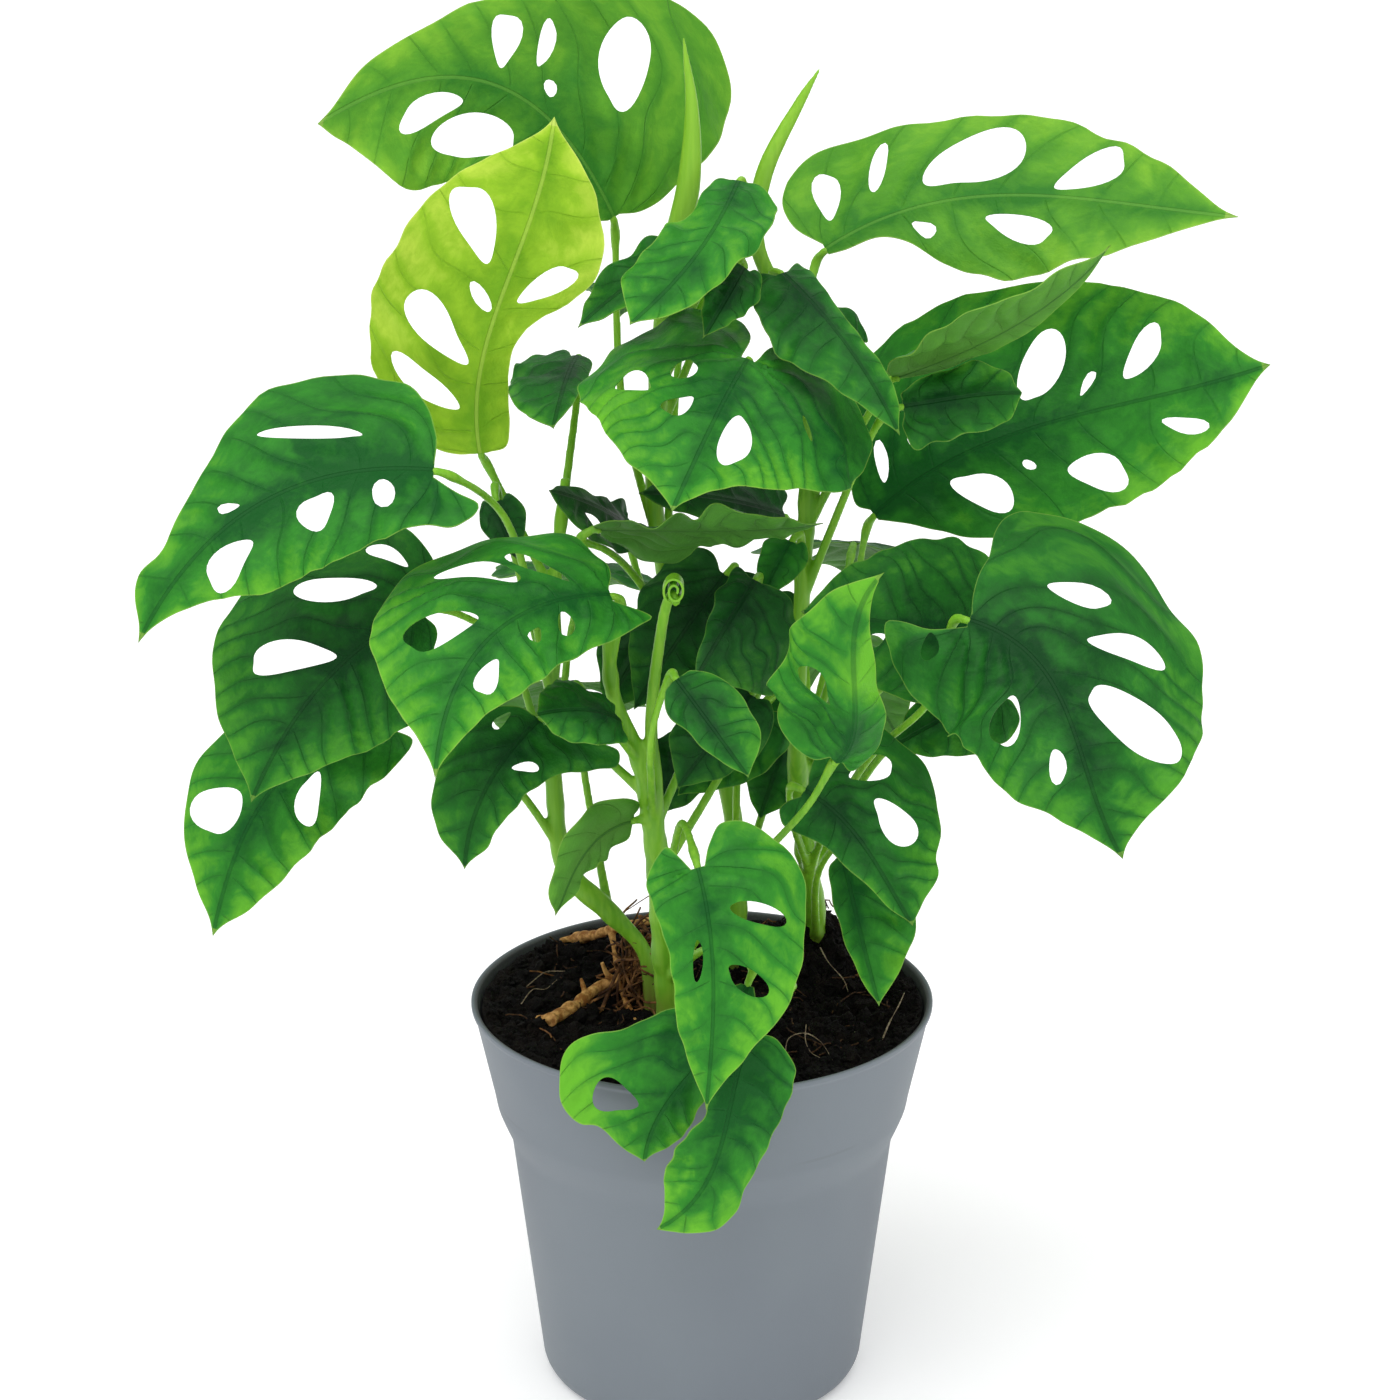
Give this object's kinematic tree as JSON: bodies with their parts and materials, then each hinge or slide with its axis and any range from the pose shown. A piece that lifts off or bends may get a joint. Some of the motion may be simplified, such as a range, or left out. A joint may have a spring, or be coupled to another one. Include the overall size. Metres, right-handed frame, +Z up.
{
  "type": "monstera adansonii in pot",
  "caption": "Swiss cheese vine: long oval leaves with holes between the side veins, on upright stems, rooted in the soil of a tapered plastic nursery pot.",
  "frame": {"origin": "centre of the pot's flat underside, on the surface it stands on", "axes": "+Z up along the pot's axis, -Y towards the front of the plant, +X to the front viewer's right"},
  "size_m": [0.2767, 0.2066, 0.3645],
  "materials": {
    "pot_plastic": "fine satin, blue grey",
    "soil": "crumbly, near black brown",
    "dry_root": "dry, orange brown",
    "stem_green": "smooth satin, yellow green",
    "leaf_green": "waxy, mid green",
    "leaf_dark": "waxy, dark green",
    "leaf_lime": "waxy, young lime green"
  },
  "bodies": {
    "root": {"pot": "pot_plastic", "soil": "soil", "dry_root_front": "dry_root", "dry_root_left": "dry_root", "vine_front": "stem_green", "vine_left": "stem_green", "vine_right": "stem_green", "vine_back": "stem_green", "leaf_top_left": "leaf_green", "leaf_lime": "leaf_lime", "leaf_left": "leaf_green", "leaf_top_right": "leaf_green", "leaf_right": "leaf_green", "leaf_right_turned": "leaf_dark", "leaf_right_small": "leaf_dark", "leaf_right_shade": "leaf_dark", "leaf_middle": "leaf_green", "leaf_middle_behind": "leaf_dark", "leaf_crown": "leaf_dark", "leaf_crown_low": "leaf_dark", "leaf_crown_right": "leaf_dark", "leaf_upper_left_small": "leaf_dark", "leaf_inner_left": "leaf_dark", "leaf_inner_high": "leaf_dark", "leaf_inner_flat": "leaf_dark", "leaf_inner_right": "leaf_dark", "leaf_inner_curled": "leaf_dark", "leaf_inner_deep": "leaf_dark", "leaf_inner_far": "leaf_dark", "leaf_inner_low": "leaf_dark", "leaf_inner_side": "leaf_dark", "leaf_right_inner": "leaf_dark", "leaf_inner_bright": "leaf_green", "leaf_front_left": "leaf_green", "leaf_left_second": "leaf_green", "leaf_left_low": "leaf_green", "leaf_front_left_low": "leaf_green", "leaf_front_folded": "leaf_green", "leaf_front_right": "leaf_green", "leaf_front_heart": "leaf_green", "leaf_front_shiny": "leaf_green", "leaf_front_under": "leaf_dark", "leaf_right_behind": "leaf_dark", "leaf_right_under": "leaf_dark", "leaf_right_low": "leaf_green", "leaf_right_lowest": "leaf_green", "leaf_over_rim": "leaf_green", "leaf_over_rim_front": "leaf_green", "leaf_low_back": "leaf_green", "leaf_back_left": "leaf_green", "leaf_back_right": "leaf_green", "leaf_back_high": "leaf_green", "leaf_back_low_left": "leaf_green", "leaf_back_low_right": "leaf_green"}
  },
  "joints": []
}
